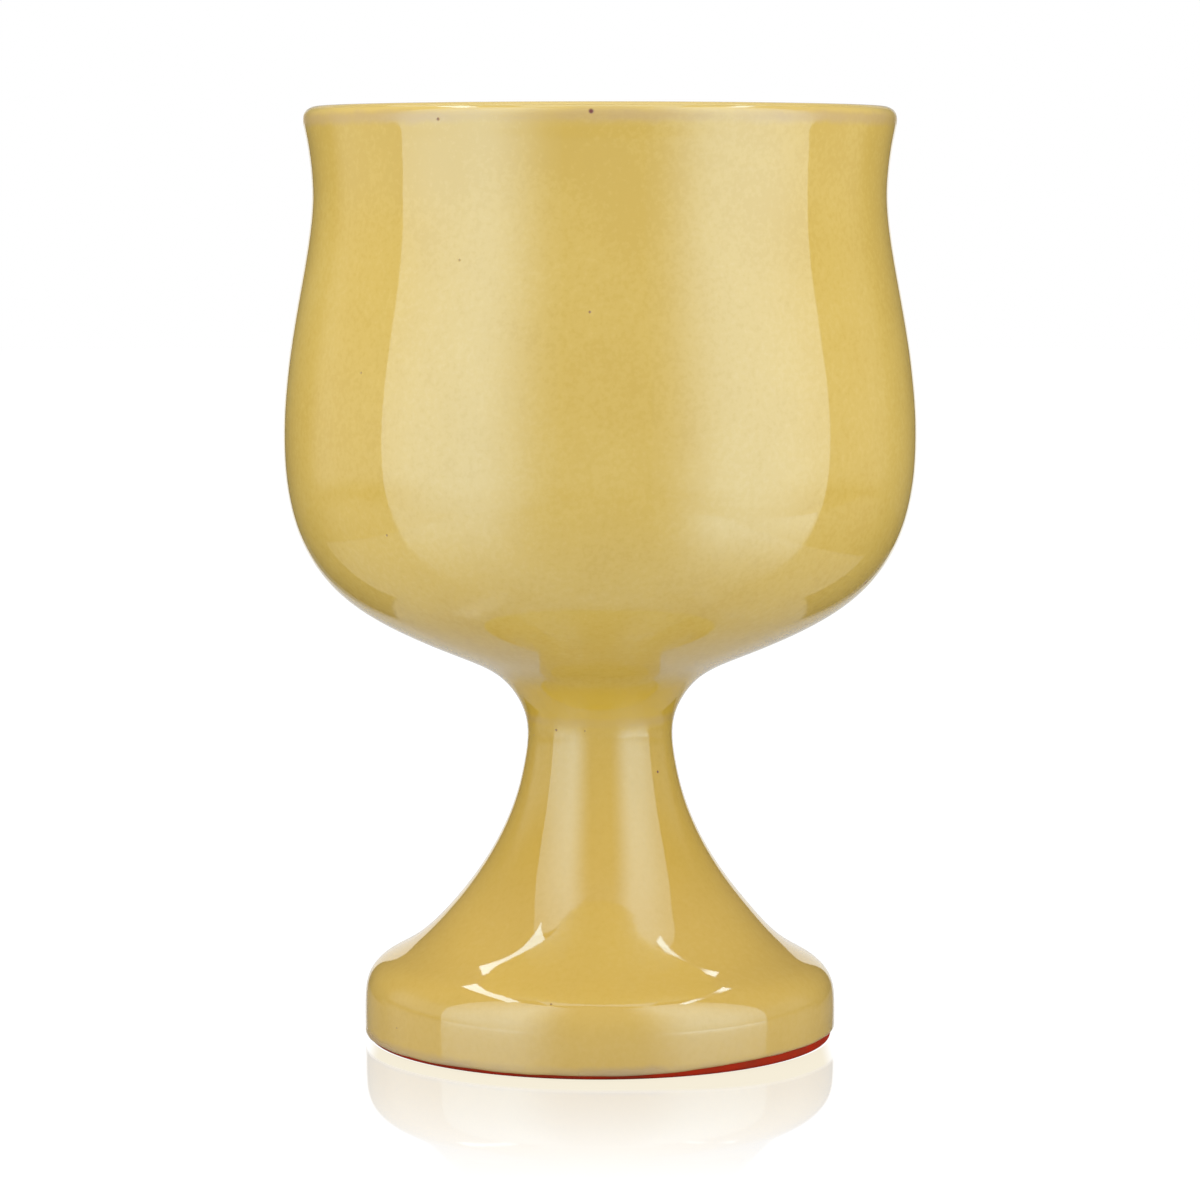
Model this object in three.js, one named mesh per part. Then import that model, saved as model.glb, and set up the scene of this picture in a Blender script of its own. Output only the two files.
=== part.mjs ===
// Ceramic chalice: a thrown bowl luted with slip to a thrown pedestal, then glazed inside and outside.
// Millimetres, +Z up. The wheel's axis is Z, and heights are above the surface the foot stands on.
// Each outline is a chain of curves; a "run" is how far a bend holds its direction before it turns.

import * as THREE from "three";

const { Vector2, CubicBezierCurve, EllipseCurve } = THREE;
const degrees = THREE.MathUtils.degToRad;

// Bowl, outside. Its drops and its rise are shares of the height from the seam to the rim.
const RIM_HEIGHT = 149.45;
const RIM_RADIUS = 46.8;
const LIP_ROUND = 1.35;
const LIP_RUN = 2;
const WAIST_DROP = 0.1366;
const WAIST_RADIUS = 45.5;
const WAIST_RUN_UP = 5.8;
const WAIST_RUN_DOWN = 9.7;
const BELLY_DROP = 0.5345;
const BELLY_RADIUS = 50.3;
const BELLY_RUN_UP = 15.8;
const BELLY_RUN_DOWN = 21.8;
const UNDERSIDE_RISE = 0.1248;
const UNDERSIDE_RADIUS = 25.9;
const UNDERSIDE_SLOPE = degrees(23);
const UNDERSIDE_RUN_OUT = 15.4;
const UNDERSIDE_RUN_IN = 7.5;
const COLLAR_RADIUS = 11.5;
const COLLAR_SLOPE = degrees(73);
const COLLAR_RUN = 8.1;

// Bowl, wall and floor.
const WAIST_WALL = 3.6;
const BELLY_WALL = 4.4;
const UNDERSIDE_WALL = 6;
const FLOOR_DIP = 5;
const FLOOR_RUN = 10;

// Seam, with the rings scored into both faces.
const SEAM_HEIGHT = 51.7;
const SLIP_THICKNESS = 1;
const SLIP_BULGE = 0.2;
const SCORE_START = 2.5;
const SCORE_PITCH = 3;
const SCORE_RINGS = 2;
const SCORE_DEPTH = 0.6;

// Pedestal, outside.
const NECK_RADIUS = 11.2;
const STEM_RUN = 15;
const FLANK_HEIGHT = 17.6;
const FLANK_RADIUS = 26.9;
const FLANK_SLOPE = degrees(46);
const FLANK_RUN_UP = 10.6;
const FLANK_RUN_DOWN = 8.2;
const FOOT_RADIUS = 37.6;
const FOOT_SIDE_HEIGHT = 6.2;
const FOOT_SIDE_RUN = 7.1;
const FOOT_EDGE_ROUND = 0.9;

// Pedestal, hollow underneath.
const RING_WIDTH = 8.4;
const RING_RUN = 5;
const FLANK_WALL = 6;
const HOLLOW_RUN_DOWN = 4;
const HOLLOW_RUN_UP = 12;
const CROWN_THICKNESS = 12;
const CROWN_RUN = 6;

// Glaze: the two coats meet on the lip, and the outer one stops above the wiped foot edge.
const GLAZE_THICKNESS = 0.5;
const BOND_GAP = 0.05;
const LIP_MEETING = degrees(45);
const GLAZE_LINE = 1.3;

// Facets round the wheel's axis.
const FACETS = 36;

const CLAY = { name: "red clay", color: 0x9c3a20, roughness: 0.85, metalness: 0 };
const SLIP = { name: "slip", color: 0x8a3420, roughness: 0.9, metalness: 0 };
const GLAZE = { name: "yellow glaze", color: 0xd4b767, roughness: 0.16, metalness: 0 };

const DOWN = new Vector2(0, -1);
const UP = new Vector2(0, 1);
const ACROSS = new Vector2(1, 0);

function point(radius, height) {
  return new Vector2(radius, height);
}

// A bend that leaves "from" along one direction and arrives at "to" along another.
function bend(from, leaving, leavingRun, to, arriving, arrivingRun) {
  const first = from.clone().addScaledVector(leaving, leavingRun);
  const second = to.clone().addScaledVector(arriving, -arrivingRun);
  return new CubicBezierCurve(from, first, second, to);
}

// Points along a curve, moved to the left of its direction by a distance that grades along it.
function trace(curve, steps, leftAtStart = 0, leftAtEnd = leftAtStart) {
  const points = [];
  for (let i = 0; i <= steps; i++) {
    const t = i / steps;
    const left = THREE.MathUtils.lerp(leftAtStart, leftAtEnd, t);
    const tangent = curve.getTangent(t);
    const moved = curve.getPoint(t).add(new Vector2(-tangent.y, tangent.x).multiplyScalar(left));
    moved.x = Math.max(moved.x, 0);
    points.push(moved);
  }
  return points;
}

// Outlines end to end, each shared end kept once.
function chain(...outlines) {
  const joined = [];
  for (const outline of outlines) {
    for (const next of outline) {
      const last = joined.at(-1);
      if (!last || last.distanceTo(next) > 2 * BOND_GAP) joined.push(next);
    }
  }
  return joined;
}

// A face across the joint, from the axis to its edge, with V rings scored to a depth.
function scoredFace(edge, depth) {
  const face = [point(0, edge.y), point(SCORE_START, edge.y)];
  for (let ring = 0; ring < SCORE_RINGS; ring++) {
    const start = SCORE_START + ring * SCORE_PITCH;
    face.push(point(start + SCORE_PITCH / 2, edge.y + depth));
    face.push(point(start + SCORE_PITCH, edge.y));
  }
  face.push(edge);
  return face;
}

// A piece turned about the wheel's axis, from an outline that runs clockwise.
function turned(name, outline, look) {
  const geometry = new THREE.LatheGeometry(outline.toReversed(), FACETS);
  geometry.rotateX(Math.PI / 2);
  const mesh = new THREE.Mesh(geometry, new THREE.MeshStandardMaterial(look));
  mesh.name = name;
  return mesh;
}

// Stations of the outside, from the lip down.
const bowlHeight = RIM_HEIGHT - SEAM_HEIGHT;
const lipCentre = point(RIM_RADIUS - LIP_ROUND, RIM_HEIGHT - LIP_ROUND);
const lipSide = point(RIM_RADIUS, lipCentre.y);
const waist = point(WAIST_RADIUS, RIM_HEIGHT - WAIST_DROP * bowlHeight);
const belly = point(BELLY_RADIUS, RIM_HEIGHT - BELLY_DROP * bowlHeight);
const underside = point(UNDERSIDE_RADIUS, SEAM_HEIGHT + UNDERSIDE_RISE * bowlHeight);
const inward = point(-Math.cos(UNDERSIDE_SLOPE), -Math.sin(UNDERSIDE_SLOPE));
const collarEnd = point(COLLAR_RADIUS, SEAM_HEIGHT + SLIP_THICKNESS / 2);
const intoCollar = point(-Math.cos(COLLAR_SLOPE), -Math.sin(COLLAR_SLOPE));
const stemTop = point(NECK_RADIUS, SEAM_HEIGHT - SLIP_THICKNESS / 2);
const flank = point(FLANK_RADIUS, FLANK_HEIGHT);
const outward = point(Math.cos(FLANK_SLOPE), -Math.sin(FLANK_SLOPE));
const footSide = point(FOOT_RADIUS, FOOT_SIDE_HEIGHT);

// Curves of the outside, each running downward, with its facets.
const lipToWaist = [bend(lipSide, DOWN, LIP_RUN, waist, DOWN, WAIST_RUN_UP), 3];
const waistToBelly = [bend(waist, DOWN, WAIST_RUN_DOWN, belly, DOWN, BELLY_RUN_UP), 5];
const bellyToUnderside = [bend(belly, DOWN, BELLY_RUN_DOWN, underside, inward, UNDERSIDE_RUN_OUT), 6];
const undersideToCollar = [bend(underside, inward, UNDERSIDE_RUN_IN, collarEnd, intoCollar, COLLAR_RUN), 5];
const stemToFlank = [bend(stemTop, DOWN, STEM_RUN, flank, outward, FLANK_RUN_UP), 7];
const flankToSide = [bend(flank, outward, FLANK_RUN_DOWN, footSide, DOWN, FOOT_SIDE_RUN), 5];

// The lip's round, split where the coats meet.
const meetingGap = BOND_GAP / LIP_ROUND;
const lipArc = (from, to) => new EllipseCurve(lipCentre.x, lipCentre.y, LIP_ROUND, LIP_ROUND, from, to, true);
const lipInside = [lipArc(Math.PI, LIP_MEETING + meetingGap), 4];
const lipOutside = [lipArc(LIP_MEETING, 0), 2];

// Inside of the bowl, from the axis to the lip: a dished floor, then the outside moved in by the wall.
// "out" lifts the whole face off the clay.
const lipWall = 2 * LIP_ROUND;
const insideWall = (out) => chain(
  trace(...lipToWaist, -lipWall - out, -WAIST_WALL - out),
  trace(...waistToBelly, -WAIST_WALL - out, -BELLY_WALL - out),
  trace(...bellyToUnderside, -BELLY_WALL - out, -UNDERSIDE_WALL - out),
).reverse();
const floorEdge = insideWall(0)[0];
const floorCentre = point(0, floorEdge.y - FLOOR_DIP);
const floor = [bend(floorCentre, ACROSS, FLOOR_RUN, floorEdge, inward.clone().negate(), FLOOR_RUN), 3];
const insideFace = (out) => chain(trace(...floor, out), insideWall(out), trace(...lipInside, out));

// Outside of the bowl, from the lip to the seam.
const bowlFace = (out) => chain(
  trace(...lipOutside, out),
  trace(...lipToWaist, out),
  trace(...waistToBelly, out),
  trace(...bellyToUnderside, out),
  trace(...undersideToCollar, out),
);

// The bead of slip at the seam, and the outside of the pedestal from there to the top of the foot's side.
const bead = (out) => [point((COLLAR_RADIUS + NECK_RADIUS) / 2 + SLIP_BULGE + out, SEAM_HEIGHT)];
const pedestalFace = (out) => chain(trace(...stemToFlank, out), trace(...flankToSide, out));

const bowlOutline = chain(
  insideFace(0),
  bowlFace(0),
  scoredFace(collarEnd, SCORE_DEPTH).reverse(),
);

// The slip fills the scored rings above and below it.
const slipOutline = [
  ...scoredFace(collarEnd.clone().addScaledVector(DOWN, BOND_GAP), SCORE_DEPTH),
  ...bead(0),
  ...scoredFace(stemTop.clone().addScaledVector(UP, BOND_GAP), -SCORE_DEPTH).reverse(),
];

// The pedestal's hollow, from the resting ring up to its crown.
const edgeArc = new EllipseCurve(
  FOOT_RADIUS - FOOT_EDGE_ROUND, FOOT_EDGE_ROUND, FOOT_EDGE_ROUND, FOOT_EDGE_ROUND, 0, -Math.PI / 2, true,
);
const ringInside = point(FOOT_RADIUS - RING_WIDTH, 0);
const hollowFlank = trace(stemToFlank[0], 1, -FLANK_WALL).at(-1);
const backInward = outward.clone().negate();
const crown = point(0, stemTop.y - CROWN_THICKNESS);
const footHollow = bend(ringInside, UP, RING_RUN, hollowFlank, backInward, HOLLOW_RUN_DOWN);
const stemHollow = bend(hollowFlank, backInward, HOLLOW_RUN_UP, crown, ACROSS.clone().negate(), CROWN_RUN);
const pedestalOutline = chain(
  scoredFace(stemTop, -SCORE_DEPTH),
  pedestalFace(0),
  trace(edgeArc, 2),
  trace(footHollow, 3),
  trace(stemHollow, 6),
);

// The coats of glaze: the face that shows, then back along the clay.
const shows = BOND_GAP + GLAZE_THICKNESS;
const outerFace = (out) => chain(bowlFace(out), bead(out), pedestalFace(out), [point(FOOT_RADIUS + out, GLAZE_LINE)]);
const liningOutline = [...insideFace(shows), ...insideFace(BOND_GAP).reverse()];
const coatOutline = [...outerFace(shows), ...outerFace(BOND_GAP).reverse(), outerFace(shows)[0]];

const chalice = new THREE.Group();
chalice.name = "chalice";
chalice.add(
  turned("bowl", bowlOutline, CLAY),
  turned("joint_slip", slipOutline, SLIP),
  turned("pedestal", pedestalOutline, CLAY),
  turned("lining_glaze", liningOutline, GLAZE),
  turned("outer_glaze", coatOutline, GLAZE),
);

export default chalice;
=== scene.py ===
"""Looks of a hand-thrown ceramic chalice: yellow glaze over red clay, in a light tent on a pale table."""

import math

import bmesh
import bpy
import numpy as np
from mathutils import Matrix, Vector, geometry, noise


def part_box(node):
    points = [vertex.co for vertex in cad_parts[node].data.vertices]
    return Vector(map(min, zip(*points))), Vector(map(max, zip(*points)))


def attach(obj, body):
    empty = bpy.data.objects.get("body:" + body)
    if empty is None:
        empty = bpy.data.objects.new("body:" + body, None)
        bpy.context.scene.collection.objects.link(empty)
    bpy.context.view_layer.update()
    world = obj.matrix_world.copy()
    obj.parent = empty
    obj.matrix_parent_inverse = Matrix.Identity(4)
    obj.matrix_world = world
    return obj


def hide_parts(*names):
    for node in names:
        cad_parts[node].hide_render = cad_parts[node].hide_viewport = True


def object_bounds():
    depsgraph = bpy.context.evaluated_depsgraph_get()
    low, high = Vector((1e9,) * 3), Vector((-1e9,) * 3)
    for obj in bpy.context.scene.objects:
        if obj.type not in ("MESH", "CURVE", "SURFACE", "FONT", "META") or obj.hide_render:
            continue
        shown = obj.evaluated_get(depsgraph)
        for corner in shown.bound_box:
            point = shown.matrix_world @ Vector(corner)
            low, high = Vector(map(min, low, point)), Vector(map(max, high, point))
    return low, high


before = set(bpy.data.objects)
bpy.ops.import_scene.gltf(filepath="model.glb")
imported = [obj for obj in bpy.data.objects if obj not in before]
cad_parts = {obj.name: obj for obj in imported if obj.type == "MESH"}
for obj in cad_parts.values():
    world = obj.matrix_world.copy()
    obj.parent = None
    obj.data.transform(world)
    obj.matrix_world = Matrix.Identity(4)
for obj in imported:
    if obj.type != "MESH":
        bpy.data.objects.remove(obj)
cad_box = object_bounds()

MM = 0.001

# A span of four numbers below says where it starts and ends, and its value before and after.

# Turning: steps round the wheel's axis, steps between two points of the CAD outline, and what stays sharp.
SPIN_STEPS = 192
SMOOTH_STEPS = 6
CORNER = math.radians(55)

# Points closer than this are one, and heights that agree to so many digits are level.
WELD = 1e-6
LEVEL_DIGITS = 5

# The glaze runs smooth over the bead of slip: outline points so far below and above the seam are left out.
SEAM_COVER_BELOW = 0.6 * MM
SEAM_COVER_ABOVE = 0.15 * MM

# What the potter's hands left: rings and a wobble that draw the surface in, and a foot shoulder that leans.
THROWING_DEPTH = 0.03 * MM
THROWING_PITCH = 7 * MM
WOBBLE_DEPTH = 0.15 * MM
WOBBLE_SIZE = 45 * MM
FULL_WOBBLE_RADIUS = 20 * MM
SHOULDER_LEAN = 0.010
SHOULDER_HEIGHT = 13 * MM
SHOULDER_REACH = 11 * MM

# The wiped lower edge of the glaze: low at the left and front, high at the right.
GLAZE_LINE_LOW = -0.62 * MM
GLAZE_LINE_HIGH = 0.35 * MM
GLAZE_LINE_RISE = (0.05, 0.80)
GLAZE_LINE_REACH = 3.5 * MM
GLAZE_LINE_RAGGED = 0.12 * MM
GLAZE_LINE_RAGGED_SIZE = 5 * MM

# Colours, linear.
GLAZE_DEEP = (0.610, 0.424, 0.092, 1)
GLAZE_MID = (0.640, 0.455, 0.108, 1)
GLAZE_PALE = (0.662, 0.480, 0.126, 1)
GLAZE_BREAK = (0.520, 0.370, 0.190, 1)
GLAZE_POOL = (0.660, 0.440, 0.045, 1)
GLAZE_WARM = (0.720, 0.465, 0.108, 1)
# Painted light: a paler yellow for the top of the lip, where light falls on it from above.
RIM_PAINTED_LIGHT = (0.760, 0.565, 0.180, 1)
GLAZE_SHEEN = (0.58, 0.84, 1.0, 1)
PIT_BROWN = (0.170, 0.030, 0.014, 1)
CLAY_RED = (0.470, 0.026, 0.006, 1)
CLAY_DARK = (0.330, 0.034, 0.012, 1)
CLAY_PALE = (0.560, 0.055, 0.014, 1)
TABLE_SHADE = (0.05, 0.05, 0.05, 1)
# Painted reflection: the foot's yellow as seen in the table just before it.
FOOT_REFLECTION_PAINTED = (0.85, 0.785, 0.635, 1)
WHITE = (1, 1, 1, 1)

# Noises of the glaze: size, and where they differ from the usual, detail and roughness.
GLAZE_CLOUDS = (22 * MM, 4, 0.6)
GLAZE_GRAIN = (0.9 * MM, 2, 0.6)
BREAK_PATCHES = (18 * MM, 3)
BREAK_RAGGED = (6 * MM, 3, 0.6)
GLAZE_RIPPLE = (5 * MM,)
GLAZE_FINE_RIPPLE = (1.3 * MM,)
NOISE_MIDDLE = 0.5

# Tone of the glaze: the shares of clouds and grain, how much painted shade darkens it upwards toward the lip,
# where less light falls, and its three colours.
CLOUD_SHARE = 0.6
GRAIN_SHARE = 0.6
SHADE_PAINTED_UPWARDS = (115 * MM, 147 * MM, 0.0, 0.14)
DEEP_TO_MID = (0.44, 0.60)
MID_TO_PALE = (0.60, 0.76)

# Pools, breaks and pinholes: the share of their reach at full strength, and how patchy the breaks are.
POOL_CORE = 0.4
BREAK_CORE = 0.15
BREAK_PATCHY = (0.30, 0.62, 0.35, 1.0)
PIT_CORE = 0.35

# Surface of the glaze: its ripple, with pinholes so many ripples deep, its gloss, and where it is duller.
RIPPLE_DEPTH = 0.010 * MM
FINE_RIPPLE_SHARE = 0.15
PIT_DEPTH = 5.0
GLAZE_ROUGHNESS = (0.3, 0.7, 0.03, 0.055)
PIT_DULL = 0.4
BREAK_DULL = 0.35
GLAZE_IOR = 1.8

# Clay: its noises, as for the glaze, its colours by them, and its surface.
CLAY_PATCHES = (14 * MM, 5, 0.65)
CLAY_GRIT = (0.7 * MM, 3, 0.7)
CLAY_RINGS = (2 * MM, 3)
CLAY_RING_STRETCH = (0.2, 0.2, 1)
CLAY_DARK_TO_RED = (0.35, 0.65)
CLAY_PALE_GRIT = (0.60, 0.72, 0.0, 0.6)
CLAY_GRIT_SHARE = 0.6
CLAY_RELIEF = {"Strength": 0.6, "Distance": 0.12 * MM}
CLAY_ROUGHNESS = (0.3, 0.7, 0.70, 0.92)
CLAY_SPECULAR = 0.1

# Camera: the photograph's own viewpoint.
CAMERA_DISTANCE = 695.84 * MM
CAMERA_HEIGHT = 137.38 * MM
CAMERA_TILT = math.radians(5.456)
CAMERA_FIELD = math.radians(15.765)

# The two lit panels in front, left and right: azimuth from the camera's side, distance, and half their angle.
LEFT_PANEL = (math.radians(-46), 270 * MM, math.radians(32.3))
RIGHT_PANEL = (math.radians(50), 250 * MM, math.radians(33.2))
PANEL_HEIGHT = 570 * MM
PANEL_LIGHT = 2.48
# Their light by the share of the width from the outer edge, and by the share of the height.
PANEL_OUTER = (0.0, 0.5, 0.55, 1.0)
PANEL_INNER = (0.5, 1.0, 1.0, 0.05)
PANEL_FOOT = (0.0, 0.09, 0.82, 1.0)
PANEL_TOP = (0.25, 1.0, 1.0, 0.7)

# A slit of light along each top seam of the tent; left and right have a width and the share of light midway.
SLIT_ASIDE = 290 * MM
SLIT_BACK = 150 * MM
SLIT_UP = 575 * MM
SLIT_LENGTH = 500 * MM
SLIT_LIGHT = 5
SLIT_MIDWAY = (0.08, 0.3)
LEFT_SLIT = (60 * MM, 1.0)
RIGHT_SLIT = (30 * MM, 0.05)

# The lit top of the tent.
TOP_HEIGHT = 800 * MM
TOP_SIZE = 500 * MM
TOP_LIGHT = 1.3

# Soft light from behind at either side, and light from all round.
BACK_ASIDE = 600 * MM
BACK_BEHIND = 500 * MM
BACK_UP = 700 * MM
BACK_SIZE = 700 * MM
BACK_AIM = Vector((0, 0, 80 * MM))
LEFT_BACK_LIGHT = 1.8
RIGHT_BACK_LIGHT = 1.08
FILL_LIGHT = 0.19

# The tent's cloth, which glows as a painted reflection of the room that only mirrors see: brighter at its
# sides, low down and in front. Side and front are shares of the radius.
ROUND_STEPS = 96
TENT_RADIUS = 450 * MM
TENT_HEIGHT = 850 * MM
TENT_SIDE = (0.80, 0.95)
TENT_LEFT_TO_RIGHT = (0.46, 0.28)
TENT_LOW = (100 * MM, 300 * MM, 1.0, 0.1)
TENT_FOOT = (0.0, 40 * MM, 0.15, 1.0)
TENT_FRONT = (-0.8, -0.6)
TENT_FRONT_LIGHT = (0.35, 0.07)
# A white card behind the chalice, which glows as a painted reflection and fades upwards.
CARD_HALF_WIDTH = 160 * MM
CARD_FADE = (125 * MM, 220 * MM, 1.0, 0.4)

# Table, for mirrors: a white sheet, its tone by the way from the chalice, with its edge at either side.
TABLE_RADIUS = 3.0
TABLE_POLISH = {"Roughness": 0.12, "IOR": 1.65, "Coat Weight": 0.8, "Coat Roughness": 0.2, "Coat IOR": 1.65}
SHEET_TONE = (60 * MM, 240 * MM, 0.54, 0.34)
SHEET_MIDDLE = -18.7 * MM
SHEET_EDGE = (183 * MM, 190 * MM, 1.0, 0.1)
# The chalice's two shadows on the sheet: slope and span of their straight outer, inner and back edges.
SHADOW_EDGES = [
    (-1.04, (52 * MM, 58 * MM, 0.9, 0.0)),
    (0.27, (93 * MM, 99 * MM, 0.0, 1.0)),
    (-0.46, (22 * MM, 30 * MM, 0.0, 1.0)),
]
# The panels' light on the sheet: by the way toward them, by the slant of that way, and back to its end.
SHEEN = (60 * MM, 230 * MM, 0.0, 1.0)
SHEEN_TURN = (0.3, 0.9, 0.0, 1.0)
SHEEN_LEAST_AHEAD = 1 * MM
SHEEN_END = (-35 * MM, -23 * MM, 1.0, 0.1)
# Its strength for each panel, and the slope of its end.
LEFT_SHEEN = (1.0, 0.18)
RIGHT_SHEEN = (1.65, 0.053)
# Light that the table throws back onto the chalice, from in front of it to behind it.
TABLE_BOUNCE = (-40 * MM, 60 * MM, 0.70, 0.52)

# Table, for the eye: a white glow, and a pale yellow line before the foot, painted as the foot's reflection.
# Sides are shares of the foot's radius.
TABLE_GLOW = (150 * MM, 450 * MM, 1.03, 1.0)
FOOT_MARGIN = 1 * MM
FOOT_REFLECTION_SIDE = (0.93, 1.0)
# The chalice's mirror image: its start before the foot, later at the right, its fade, and only at a slant.
MIRROR_START = (6 * MM, 10 * MM, 0.0, 1.0)
MIRROR_LATER = 5 * MM
MIRROR_LATER_SIDE = (0.05, 0.8)
MIRROR_SIDE = (1.0, 1.15)
MIRROR_FADE = (40 * MM, 130 * MM, 0.41, 0.0)
MIRROR_GRAZING = (0.3, 0.75, 0.0, 1.0)
MIRROR_ROUGHNESS = 0.03


def outline_in_frame(node):
    """The outline that a CAD node was turned from: its points at +X in order, as radius and height."""
    bm = bmesh.new()
    bm.from_mesh(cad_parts[node].data)
    bmesh.ops.remove_doubles(bm, verts=bm.verts, dist=WELD)
    on_plane = {v for v in bm.verts if abs(v.co.y) < WELD and v.co.x > -WELD}
    beside = {v: [e.other_vert(v) for e in v.link_edges if e.other_vert(v) in on_plane] for v in on_plane}
    ends = [v for v in on_plane if len(beside[v]) == 1]
    at = max(ends or on_plane, key=lambda v: v.co.z)
    outline = []
    while at is not None:
        outline.append(Vector((at.co.x, at.co.z)))
        on_plane.discard(at)
        at = next((v for v in beside[at] if v in on_plane), None)
    bm.free()
    return outline


def fair(points):
    """A cubic spline through points, so that bending changes without a break: slopes, then stretches."""
    count = len(points)
    places = np.array([p[:] for p in points])
    chords = np.diff(places, axis=0)
    lengths = np.linalg.norm(chords, axis=1)
    bends = np.zeros((count, count))
    pulls = np.zeros((count, 2))
    for i, (length, chord) in enumerate(zip(lengths, chords)):
        bends[i:i + 2, i:i + 2] += np.array([[2, 1], [1, 2]]) / length
        pulls[i:i + 2] += 3 * chord / length ** 2
    slopes = [Vector(m) for m in np.linalg.solve(bends, pulls)]
    curve = [points[0]]
    for i, length in enumerate(lengths):
        after = points[i] + slopes[i] * (length / 3)
        before = points[i + 1] - slopes[i + 1] * (length / 3)
        stretch = geometry.interpolate_bezier(points[i], after, before, points[i + 1], SMOOTH_STEPS + 1)
        curve.extend(p.to_2d() for p in stretch[1:])
    return curve


def smooth(outline):
    """Fair curves through the points of an outline, from each sharp corner to the next."""
    corners = [i for i in range(1, len(outline) - 1)
               if (outline[i] - outline[i - 1]).angle(outline[i + 1] - outline[i]) > CORNER]
    curve = [outline[0]]
    for start, end in zip([0] + corners, corners + [len(outline) - 1]):
        curve.extend(fair(outline[start:end + 1])[1:])
    return curve


def turned_piece(name, outline, closed=False):
    """Spins an outline once round the wheel's axis into a mesh with smooth faces."""
    bm = bmesh.new()
    points = [bm.verts.new((p.x, 0, p.y)) for p in outline]
    edges = [bm.edges.new(pair) for pair in zip(points, points[1:])]
    if closed:
        edges.append(bm.edges.new((points[-1], points[0])))
    bmesh.ops.spin(bm, geom=points + edges, cent=(0, 0, 0), axis=(0, 0, 1), dvec=(0, 0, 0),
                   angle=math.tau, steps=SPIN_STEPS, use_merge=True, use_duplicate=False)
    bmesh.ops.remove_doubles(bm, verts=bm.verts, dist=WELD)
    bmesh.ops.recalc_face_normals(bm, faces=bm.faces)
    for face in bm.faces:
        face.smooth = True
    return new_object(name, bm)


def new_object(name, bm):
    """An object from a bmesh, which it uses up."""
    mesh = bpy.data.meshes.new(name)
    bm.to_mesh(mesh)
    bm.free()
    made = bpy.data.objects.new(name, mesh)
    bpy.context.collection.objects.link(made)
    return made


def dress(piece, node, material):
    """The piece stands for its CAD node, with its finish."""
    piece.data.materials.append(material)
    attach(piece, "root")
    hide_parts(node)


def unit_noise(place):
    """Noise from 0 to 1 at a place."""
    return 0.5 + 0.5 * noise.noise(place)


def hand_made(piece):
    """Keeps heights within the CAD box, then adds hand work: rings, a slow wobble and a leaning shoulder."""
    bottom = cad_box[0][2]
    top = cad_box[1][2]
    settle = min(1, top / max(v.co.z for v in piece.data.vertices))
    for v in piece.data.vertices:
        v.co.z = max(v.co.z * settle, bottom)
        radius = math.hypot(v.co.x, v.co.y)
        if radius < WELD:
            continue
        ring = unit_noise(Vector((0, 0, v.co.z / THROWING_PITCH)))
        swell = unit_noise(v.co / WOBBLE_SIZE)
        depth = (ring * THROWING_DEPTH + swell * WOBBLE_DEPTH) * min(radius / FULL_WOBBLE_RADIUS, 1)
        lean = max(0, 1 - ((v.co.z - SHOULDER_HEIGHT) / SHOULDER_REACH) ** 2) ** 2
        v.co.z -= SHOULDER_LEAN * v.co.x * lean
        v.co.x *= 1 - depth / radius
        v.co.y *= 1 - depth / radius


def ease(value, low, high):
    """A smooth step from 0 at low to 1 at high."""
    share = min(max((value - low) / (high - low), 0), 1)
    return share * share * (3 - 2 * share)


def uneven_glaze_line(piece, line):
    """Moves the lower edge of the glaze up and down round the foot."""
    for v in piece.data.vertices:
        near = min(max(0, 1 - (v.co.z - line) / GLAZE_LINE_REACH), 1)
        side = ease(v.co.x / math.hypot(v.co.x, v.co.y), *GLAZE_LINE_RISE)
        ragged = GLAZE_LINE_RAGGED * noise.noise(v.co / GLAZE_LINE_RAGGED_SIZE)
        v.co.z += near * (GLAZE_LINE_LOW + side * (GLAZE_LINE_HIGH - GLAZE_LINE_LOW) + ragged)


def shares(pair, whole):
    """Two shares of a length, as lengths."""
    return [share * whole for share in pair]


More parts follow.
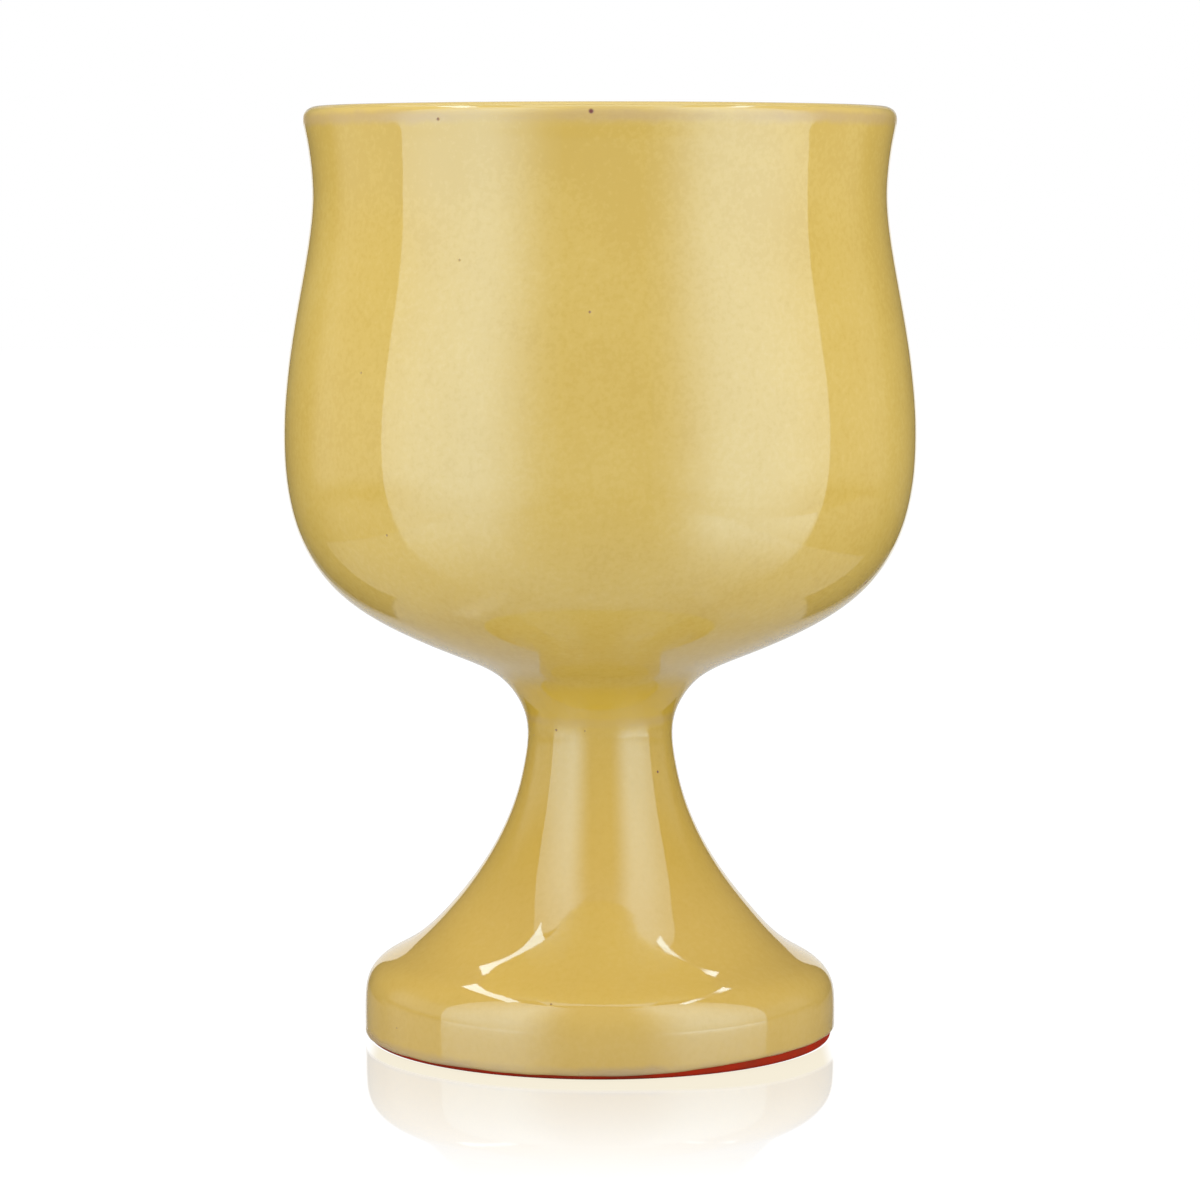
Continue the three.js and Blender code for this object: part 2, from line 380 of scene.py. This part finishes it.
class Nodes:
    """A short way to write a node tree: add a node, set its inputs, and link what is a socket."""

    def __init__(self, tree):
        self.tree = tree
        tree.nodes.clear()

    def give(self, socket, value):
        """Links a socket to another, or sets its number or colour."""
        if isinstance(value, bpy.types.NodeSocket):
            self.tree.links.new(value, socket)
        else:
            socket.default_value = value

    def outputs(self, kind, inputs=None, **settings):
        """A new node's outputs."""
        made = self.tree.nodes.new(kind)
        for key, value in settings.items():
            setattr(made, key, value)
        for key, value in (inputs or {}).items():
            self.give(made.inputs[key], value)
        return made.outputs

    def add(self, kind, inputs=None, output=0, **settings):
        """One output of a new node."""
        return self.outputs(kind, inputs, **settings)[output]

    def surface(self, shader, kind="Material"):
        """Ends the tree in a shader; kind is Material, Light or World."""
        self.outputs("ShaderNodeOutput" + kind, {"Surface": shader})

    def math(self, operation, a, b=0.0):
        return self.add("ShaderNodeMath", {0: a, 1: b}, operation=operation)

    def span(self, value, low, high, to_low=0.0, to_high=1.0):
        """A smooth step from to_low at low to to_high at high."""
        ends = {"Value": value, "From Min": low, "From Max": high, "To Min": to_low, "To Max": to_high}
        return self.add("ShaderNodeMapRange", ends, interpolation_type="SMOOTHSTEP")

    def mix(self, factor, a, b):
        """A mix of two colours; 0, 6 and 7 are the factor and colour inputs of the Mix node, 2 its colour."""
        return self.add("ShaderNodeMix", {0: factor, 6: a, 7: b}, output=2, data_type="RGBA")

    def noise(self, place, size, detail=2.0, roughness=0.5):
        """Noise from 0 to 1 with features of about that size."""
        return self.add("ShaderNodeTexNoise",
                        {"Vector": place, "Scale": 1 / size, "Detail": detail, "Roughness": roughness})

    def seen(self):
        """1 for what the camera, a mirror or a glass sees, 0 for light that falls on things."""
        path = self.outputs("ShaderNodeLightPath")
        mirrored = self.math("MAXIMUM", path["Is Glossy Ray"], path["Is Transmission Ray"])
        return self.math("MAXIMUM", path["Is Camera Ray"], mirrored)

    def on_lamp(self):
        """The place on a lamp, from 0 to 1 along X and Y."""
        place = self.add("ShaderNodeNewGeometry", output="Parametric")
        return self.outputs("ShaderNodeSeparateXYZ", {0: place})

    def shine(self, level=1.0):
        """Ends a lamp's tree in light at that share of its strength."""
        self.surface(self.add("ShaderNodeEmission", {"Strength": level}), "Light")


def new_material(name):
    """A material and its node tree."""
    material = bpy.data.materials.new(name)
    material.use_nodes = True
    return material, Nodes(material.node_tree)


def glaze_material(name, breaks, pools_and_painted_light, pits):
    """Opaque gloss glaze: cloudy yellow, deep where the glaze ran thick, mauve where it broke, with pinholes;
    darkened toward the lip as painted shade, and paler at the rim as painted light.
    """
    material, n = new_material(name)
    place = n.add("ShaderNodeTexCoord", output="Object")
    height = n.add("ShaderNodeSeparateXYZ", {0: place}, output="Z")

    clouds = n.noise(place, *GLAZE_CLOUDS)
    grain = n.noise(place, *GLAZE_GRAIN)
    tone = n.math("ADD", n.math("MULTIPLY", clouds, CLOUD_SHARE), n.math("MULTIPLY", grain, GRAIN_SHARE))
    # Painted shade: the glaze is darker toward the lip, where less light falls.
    tone = n.math("SUBTRACT", tone, n.span(height, *SHADE_PAINTED_UPWARDS))
    colour = n.mix(n.span(tone, *DEEP_TO_MID), GLAZE_DEEP, GLAZE_MID)
    colour = n.mix(n.span(tone, *MID_TO_PALE), colour, GLAZE_PALE)

    # These mix in thicker, warmer glaze, and at the rim a paler colour that is painted light.
    for middle, reach, strength, thick_or_lit in pools_and_painted_light:
        away = n.math("ABSOLUTE", n.math("SUBTRACT", height, middle))
        colour = n.mix(n.span(away, POOL_CORE * reach, reach, strength, 0.0), colour, thick_or_lit)

    patchy = n.span(n.noise(place, *BREAK_PATCHES), *BREAK_PATCHY)
    dry = 0.0
    for middle, reach, strength in breaks:
        stray = n.math("SUBTRACT", n.noise(place, *BREAK_RAGGED), NOISE_MIDDLE)
        ragged = n.math("ADD", height, n.math("MULTIPLY", stray, reach))
        away = n.math("ABSOLUTE", n.math("SUBTRACT", ragged, middle))
        thin = n.math("MULTIPLY", n.span(away, BREAK_CORE * reach, reach, strength, 0.0), patchy)
        colour = n.mix(thin, colour, GLAZE_BREAK)
        dry = n.math("MAXIMUM", dry, thin)

    dents = 0.0
    for where, size, stain in pits:
        away = n.add("ShaderNodeVectorMath", {0: place, 1: where}, output="Value", operation="DISTANCE")
        colour = n.mix(n.span(away, PIT_CORE * size, size, stain, 0.0), colour, PIT_BROWN)
        dents = n.math("ADD", dents, n.span(away, PIT_CORE * size, size, 1.0, 0.0))

    fine = n.math("MULTIPLY", n.noise(place, *GLAZE_FINE_RIPPLE), FINE_RIPPLE_SHARE)
    ripple = n.math("ADD", n.noise(place, *GLAZE_RIPPLE), fine)
    relief = n.math("SUBTRACT", ripple, n.math("MULTIPLY", dents, PIT_DEPTH))
    bump = n.add("ShaderNodeBump", {"Strength": 1.0, "Distance": RIPPLE_DEPTH, "Height": relief})
    dull = n.math("ADD", n.math("MULTIPLY", dents, PIT_DULL), n.math("MULTIPLY", dry, BREAK_DULL))
    roughness = n.math("ADD", n.span(clouds, *GLAZE_ROUGHNESS), dull)
    finish = {"Base Color": colour, "Roughness": roughness, "Normal": bump}
    even = {"IOR": GLAZE_IOR, "Specular Tint": GLAZE_SHEEN}
    n.surface(n.add("ShaderNodeBsdfPrincipled", finish | even))
    return material


def clay_material(name):
    """Bare fired red clay: warm, gritty and matt, darker in patches."""
    material, n = new_material(name)
    place = n.add("ShaderNodeTexCoord", output="Object")
    patches = n.noise(place, *CLAY_PATCHES)
    grit = n.noise(place, *CLAY_GRIT)
    stretched = n.add("ShaderNodeMapping", {"Vector": place, "Scale": CLAY_RING_STRETCH})
    rings = n.noise(stretched, *CLAY_RINGS)
    colour = n.mix(n.span(patches, *CLAY_DARK_TO_RED), CLAY_DARK, CLAY_RED)
    colour = n.mix(n.span(grit, *CLAY_PALE_GRIT), colour, CLAY_PALE)
    relief = n.math("ADD", n.math("MULTIPLY", grit, CLAY_GRIT_SHARE), rings)
    bump = n.add("ShaderNodeBump", {"Height": relief} | CLAY_RELIEF)
    finish = {"Base Color": colour, "Roughness": n.span(grit, *CLAY_ROUGHNESS), "Normal": bump}
    n.surface(n.add("ShaderNodeBsdfPrincipled", finish | {"Specular IOR Level": CLAY_SPECULAR}))
    return material


def faces_of_coat(loop):
    """Splits a coat's closed outline into the face that shows, running down, and the face on the clay, up."""
    if loop[1].x < loop[0].x:
        loop = loop[:1] + loop[:0:-1]
    low = min(range(len(loop)), key=lambda i: (round(loop[i].y, LEVEL_DIGITS), -loop[i].x))
    return loop[:low + 1], loop[low + 1:]


def build_outer_glaze(material):
    """The coat outside, from the lip to the glaze line, with a round lower edge."""
    shows, back = faces_of_coat(outline_in_frame("outer_glaze"))
    low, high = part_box("joint_slip")
    seam = (low.z + high.z) / 2
    shows = [p for p in shows if not -SEAM_COVER_BELOW < p.y - seam < SEAM_COVER_ABOVE]
    outside = shows[-1]
    inside = back[0]
    line = outside.y
    thick = Vector((0, outside.x - inside.x))
    start = outside + thick
    under = (outside + inside) / 2
    roll = geometry.interpolate_bezier(start, outside + thick / 2, under, inside, SMOOTH_STEPS)
    curve = smooth(shows[:-1] + [start]) + [p.to_2d() for p in roll[1:-1]]
    piece = turned_piece("outer_glaze", curve + back, closed=True)
    hand_made(piece)
    uneven_glaze_line(piece, line)
    dress(piece, "outer_glaze", material)


def build_lining_glaze(material):
    """The coat inside, from the middle of the floor over the lip."""
    piece = turned_piece("lining_glaze", smooth(outline_in_frame("lining_glaze")))
    hand_made(piece)
    dress(piece, "lining_glaze", material)


def build_pedestal(material):
    """The clay of stem and foot, whose bare edge and hollow underside show."""
    piece = turned_piece("pedestal", smooth(outline_in_frame("pedestal")))
    hand_made(piece)
    dress(piece, "pedestal", material)


def on_glaze(azimuth, radius, height):
    """A place on the glaze: azimuth in degrees from the camera's side, positive to its right; millimetres."""
    turn = math.radians(azimuth)
    return Vector((radius * math.sin(turn), -radius * math.cos(turn), height)) * MM


def panel_sheen(n, at, place, light, end_slope):
    """A panel's light on the table, on its own side, as far as its foot, and back to where it ends."""
    azimuth, distance, _ = place
    aside = n.math("MULTIPLY", at["X"], math.sin(azimuth))
    toward = n.math("ADD", aside, n.math("MULTIPLY", at["Y"], -math.cos(azimuth)))
    reach = n.math("MULTIPLY", n.math("GREATER_THAN", aside, 0.0), n.math("LESS_THAN", toward, distance))
    off_end = n.math("ADD", at["Y"], n.math("MULTIPLY", aside, end_slope))
    reach = n.math("MULTIPLY", reach, n.span(off_end, *SHEEN_END))
    return n.math("MULTIPLY", n.math("MULTIPLY", n.span(toward, *SHEEN), light), reach)


def table_in_mirrors(n, at, away, across, ahead):
    """The table in mirrors and as it lights the chalice: a polished sheet, its shadows, the panels' light."""
    path = n.outputs("ShaderNodeLightPath")
    shadow = 1.0
    for slope, edge in SHADOW_EDGES:
        off_edge = n.math("ADD", across, n.math("MULTIPLY", at["Y"], slope))
        shadow = n.math("MULTIPLY", shadow, n.span(off_edge, *edge))
    lit = n.math("SUBTRACT", 1.0, shadow)
    off_middle = n.math("ABSOLUTE", n.math("SUBTRACT", at["X"], SHEET_MIDDLE))
    sheet = n.math("MULTIPLY", n.span(away, *SHEET_TONE), n.span(off_middle, *SHEET_EDGE))
    bounce = n.math("MULTIPLY", path["Is Diffuse Ray"], n.span(at["Y"], *TABLE_BOUNCE))
    tone = n.math("MAXIMUM", n.math("MULTIPLY", sheet, lit), bounce)
    polished = n.add("ShaderNodeBsdfPrincipled", {"Base Color": tone} | TABLE_POLISH)
    slant = n.math("DIVIDE", across, n.math("MAXIMUM", ahead, SHEEN_LEAST_AHEAD))
    left = panel_sheen(n, at, LEFT_PANEL, *LEFT_SHEEN)
    right = panel_sheen(n, at, RIGHT_PANEL, *RIGHT_SHEEN)
    sheen = n.math("MULTIPLY", n.span(slant, *SHEEN_TURN), n.math("ADD", left, right))
    panels = n.add("ShaderNodeEmission", {"Strength": n.math("MULTIPLY", sheen, path["Is Glossy Ray"])})
    return n.add("ShaderNodeAddShader", {0: polished, 1: panels})


def table_for_eye(n, at, away, across, ahead):
    """The table as the camera sees it: white, a faint shadow, a pale yellow line painted as the foot's
    reflection, and the chalice's mirror image.
    """
    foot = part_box("pedestal")[1].x
    chord = n.math("SUBTRACT", foot * foot, n.math("MULTIPLY", at["X"], at["X"]))
    off_foot = n.math("SUBTRACT", ahead, n.math("SQRT", n.math("MAXIMUM", chord, 0.0)))
    later = n.span(at["X"], *shares(MIRROR_LATER_SIDE, foot), 0.0, MIRROR_LATER)
    clear = n.span(n.math("SUBTRACT", off_foot, later), *MIRROR_START)
    before = n.math("GREATER_THAN", off_foot, -FOOT_MARGIN)
    before = n.math("MULTIPLY", before, n.span(across, *shares(FOOT_REFLECTION_SIDE, foot), 1.0, 0.0))
    # Painted reflection: a pale yellow line before the foot, where the mirror is not yet on.
    painted_foot_reflection = n.math("MULTIPLY", before, n.math("SUBTRACT", 1.0, clear))
    dim = n.add("ShaderNodeBsdfDiffuse", {"Color": TABLE_SHADE})
    tint = n.mix(painted_foot_reflection, WHITE, FOOT_REFLECTION_PAINTED)
    glow = n.add("ShaderNodeEmission", {"Color": tint, "Strength": n.span(away, *TABLE_GLOW)})
    plain = n.add("ShaderNodeAddShader", {0: dim, 1: glow})
    mirror = n.add("ShaderNodeBsdfGlossy", {"Color": WHITE, "Roughness": MIRROR_ROUGHNESS})
    grazing = n.span(n.add("ShaderNodeLayerWeight", output="Facing"), *MIRROR_GRAZING)
    beside = n.math("MULTIPLY", n.span(across, *shares(MIRROR_SIDE, foot), 1.0, 0.0), grazing)
    polish = n.math("MULTIPLY", n.math("MULTIPLY", clear, beside), n.span(away, *MIRROR_FADE))
    return n.add("ShaderNodeMixShader", {0: polish, 1: plain, 2: mirror})


def build_table():
    """A wide pale table, with one look for the camera and, inside the tent, another for mirrors."""
    bm = bmesh.new()
    bmesh.ops.create_circle(bm, cap_ends=True, segments=ROUND_STEPS, radius=TABLE_RADIUS)
    table = new_object("table", bm)
    material, n = new_material("pale table")
    place = n.add("ShaderNodeTexCoord", output="Object")
    at = n.outputs("ShaderNodeSeparateXYZ", {0: place})
    away = n.add("ShaderNodeVectorMath", {0: place}, output="Value", operation="LENGTH")
    across = n.math("ABSOLUTE", at["X"])
    ahead = n.math("MULTIPLY", at["Y"], -1.0)
    mirrored = table_in_mirrors(n, at, away, across, ahead)
    white = table_for_eye(n, at, away, across, ahead)
    outside = n.math("MULTIPLY", n.seen(), n.math("GREATER_THAN", away, TENT_RADIUS))
    to_eye = n.math("MAXIMUM", n.add("ShaderNodeLightPath", output="Is Camera Ray"), outside)
    n.surface(n.add("ShaderNodeMixShader", {0: to_eye, 1: mirrored, 2: white}))
    material.cycles.emission_sampling = "NONE"
    table.data.materials.append(material)


def lamp(name, place, aim, width, height, light, in_mirrors=True):
    """The node tree of a flat lamp of that radiance, facing along aim. The camera doesn't see it."""
    data = bpy.data.lights.new(name, "AREA")
    data.shape = "RECTANGLE"
    data.size = width
    data.size_y = height
    data.energy = light * math.pi * width * height
    data.use_nodes = True
    made = bpy.data.objects.new(name, data)
    bpy.context.collection.objects.link(made)
    made.location = place
    made.rotation_euler = aim.to_track_quat("-Z", "Y").to_euler()
    made.visible_camera = False
    made.visible_glossy = in_mirrors
    return Nodes(data.node_tree)


def panel(name, place):
    """A lit panel of the tent that stands on the table, brightest midway and fading toward the camera."""
    azimuth, distance, half_angle = place
    toward = Vector((math.sin(azimuth), -math.cos(azimuth), 0))
    middle = toward * distance + Vector((0, 0, PANEL_HEIGHT / 2))
    width = 2 * distance * math.tan(half_angle)
    n = lamp(name, middle, -toward, width, PANEL_HEIGHT, PANEL_LIGHT)
    at = n.on_lamp()
    inward = at["X"] if azimuth < 0 else n.math("SUBTRACT", 1.0, at["X"])
    across = n.math("MULTIPLY", n.span(inward, *PANEL_OUTER), n.span(inward, *PANEL_INNER))
    upward = n.math("MULTIPLY", n.span(at["Y"], *PANEL_TOP), n.span(at["Y"], *PANEL_FOOT))
    n.shine(n.math("MULTIPLY", across, upward))


def slit(name, side, width, midway):
    """Light that comes through a top seam of the tent, which runs back along one side."""
    place = Vector((side * SLIT_ASIDE, SLIT_BACK, SLIT_UP))
    n = lamp(name, place, Vector((-place.x, 0, -place.z)), SLIT_LENGTH, width, SLIT_LIGHT)
    off_middle = n.math("ABSOLUTE", n.math("SUBTRACT", n.on_lamp()["X"], 0.5))
    n.shine(n.span(off_middle, *SLIT_MIDWAY, midway, 1.0))


def back_fill(name, side, light):
    """Soft light on the sides and the back, which mirrors don't see."""
    place = Vector((side * BACK_ASIDE, BACK_BEHIND, BACK_UP))
    lamp(name, place, BACK_AIM - place, BACK_SIZE, BACK_SIZE, light, in_mirrors=False).shine()


def top_panel():
    """The lit top of the tent."""
    lamp("top panel", Vector((0, 0, TOP_HEIGHT)), Vector((0, 0, -1)), TOP_SIZE, TOP_SIZE, TOP_LIGHT).shine()


def build_tent():
    """Dim glowing cloth round and above the chalice, and a glowing white card behind it: painted reflections
    that only mirrors see.
    """
    bm = bmesh.new()
    bmesh.ops.create_cone(bm, cap_ends=True, segments=ROUND_STEPS,
                          radius1=TENT_RADIUS, radius2=TENT_RADIUS, depth=TENT_HEIGHT)
    bmesh.ops.translate(bm, verts=bm.verts, vec=(0, 0, TENT_HEIGHT / 2))
    floor = [f for f in bm.faces if f.calc_center_median().z < WELD]
    bmesh.ops.delete(bm, geom=floor, context="FACES_ONLY")
    tent = new_object("tent", bm)
    material, n = new_material("tent glow for mirrors")
    at = n.outputs("ShaderNodeSeparateXYZ", {0: n.add("ShaderNodeTexCoord", output="Object")})
    across = n.math("ABSOLUTE", at["X"])
    side = n.span(across, *shares(TENT_SIDE, TENT_RADIUS))
    side = n.math("MULTIPLY", side, n.span(at["X"], -TENT_RADIUS, TENT_RADIUS, *TENT_LEFT_TO_RIGHT))
    low = n.math("MULTIPLY", n.span(at["Z"], *TENT_LOW), n.span(at["Z"], *TENT_FOOT))
    front = n.span(at["Y"], *shares(TENT_FRONT, TENT_RADIUS), *TENT_FRONT_LIGHT)
    cloth = n.math("ADD", n.math("MULTIPLY", side, low), front)
    card = n.math("LESS_THAN", across, CARD_HALF_WIDTH)
    card = n.math("MULTIPLY", card, n.math("GREATER_THAN", at["Y"], 0.0))
    card = n.math("MULTIPLY", card, n.span(at["Z"], *CARD_FADE))
    level = n.math("MAXIMUM", cloth, card)
    # Painted reflection: the cloth and the card glow, and only mirrors see them.
    n.surface(n.add("ShaderNodeEmission", {"Color": WHITE, "Strength": level}))
    material.cycles.emission_sampling = "NONE"
    tent.data.materials.append(material)
    tent.visible_camera = False
    tent.visible_diffuse = False
    tent.visible_shadow = False


def build_world():
    """A white room for the eye and for mirrors, and an even fill light."""
    world = bpy.data.worlds.new("white room")
    bpy.context.scene.world = world
    world.use_nodes = True
    n = Nodes(world.node_tree)
    level = n.add("ShaderNodeMapRange", {"Value": n.seen(), "To Min": FILL_LIGHT, "To Max": 1.0})
    n.surface(n.add("ShaderNodeBackground", {"Color": WHITE, "Strength": level}), "World")


def build_camera():
    """The camera, in front of the chalice and tilted down to it."""
    lens = bpy.data.cameras.new("camera")
    lens.sensor_fit = "HORIZONTAL"
    lens.angle = CAMERA_FIELD
    camera = bpy.data.objects.new("camera", lens)
    camera.location = (0, -CAMERA_DISTANCE, CAMERA_HEIGHT)
    camera.rotation_euler = (math.pi / 2 - CAMERA_TILT, 0, 0)
    bpy.context.collection.objects.link(camera)
    bpy.context.scene.camera = camera


bpy.context.scene.view_settings.view_transform = "Standard"

# Where the glaze broke thin: height, reach either way, strength.
OUTER_BREAKS = [
    (147.9 * MM, 1.5 * MM, 0.6),
    (52.3 * MM, 1.2 * MM, 0.3),
    (1.0 * MM, 1.6 * MM, 0.9),
]
LINING_BREAKS = [(150.0 * MM, 0.35 * MM, 0.15)]

# Where it is thicker or warmer: height, reach either way, strength, colour; at the rim, a paler colour
# painted as light from above.
OUTER_POOLS_AND_PAINTED_LIGHT = [
    (10.0 * MM, 50.0 * MM, 0.45, GLAZE_WARM),
    (40.0 * MM, 18.0 * MM, 0.3, GLAZE_POOL),
    (55.0 * MM, 5.0 * MM, 0.8, GLAZE_POOL),
    # Painted light: the rim outside painted paler, for light from above.
    (150.0 * MM, 2.2 * MM, 0.7, RIM_PAINTED_LIGHT),
]
# Painted light: the top of the lining painted paler, for light from above.
LINING_PAINTED_LIGHT = [(150.0 * MM, 6.0 * MM, 1.0, RIM_PAINTED_LIGHT)]

# Pinholes: place, radius, and how much clay shows.
OUTER_PITS = [
    (on_glaze(-1.6, 47.3, 148.5), 0.55 * MM, 1.0),
    (on_glaze(-31.0, 47.3, 147.4), 0.35 * MM, 0.7),
    (on_glaze(70.8, 44.4, 75.0), 0.60 * MM, 1.0),
    (on_glaze(48.3, 12.4, 44.1), 0.30 * MM, 1.0),
    (on_glaze(45.5, 38.1, 1.6), 0.25 * MM, 0.9),
    (on_glaze(-12.0, 36.3, 11.6), 0.24 * MM, 0.7),
    (on_glaze(-57.5, 38.1, 4.9), 0.18 * MM, 0.6),
    (on_glaze(-26.7, 47.0, 126.3), 0.24 * MM, 0.4),
    (on_glaze(-46.9, 50.0, 109.0), 0.28 * MM, 0.5),
    (on_glaze(-41.4, 49.3, 84.3), 0.30 * MM, 0.7),
    (on_glaze(-1.8, 48.5, 118.7), 0.30 * MM, 0.8),
    (on_glaze(-65.0, 11.6, 49.6), 0.20 * MM, 0.6),
    (on_glaze(-36.4, 11.7, 51.0), 0.28 * MM, 0.8),
    (on_glaze(-11.8, 11.7, 51.1), 0.22 * MM, 0.8),
]

clay = clay_material("red clay")
build_outer_glaze(glaze_material("yellow glaze outside", OUTER_BREAKS, OUTER_POOLS_AND_PAINTED_LIGHT, OUTER_PITS))
build_lining_glaze(glaze_material("yellow glaze inside", LINING_BREAKS, LINING_PAINTED_LIGHT, []))
build_pedestal(clay)
for hidden in ("bowl", "joint_slip"):
    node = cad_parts[hidden]
    node.data.materials.clear()
    node.data.materials.append(clay)

build_table()
build_tent()
panel("left panel", LEFT_PANEL)
panel("right panel", RIGHT_PANEL)
top_panel()
slit("left slit", -1, *LEFT_SLIT)
slit("right slit", 1, *RIGHT_SLIT)
back_fill("left back fill", -1, LEFT_BACK_LIGHT)
back_fill("right back fill", 1, RIGHT_BACK_LIGHT)
build_world()
build_camera()
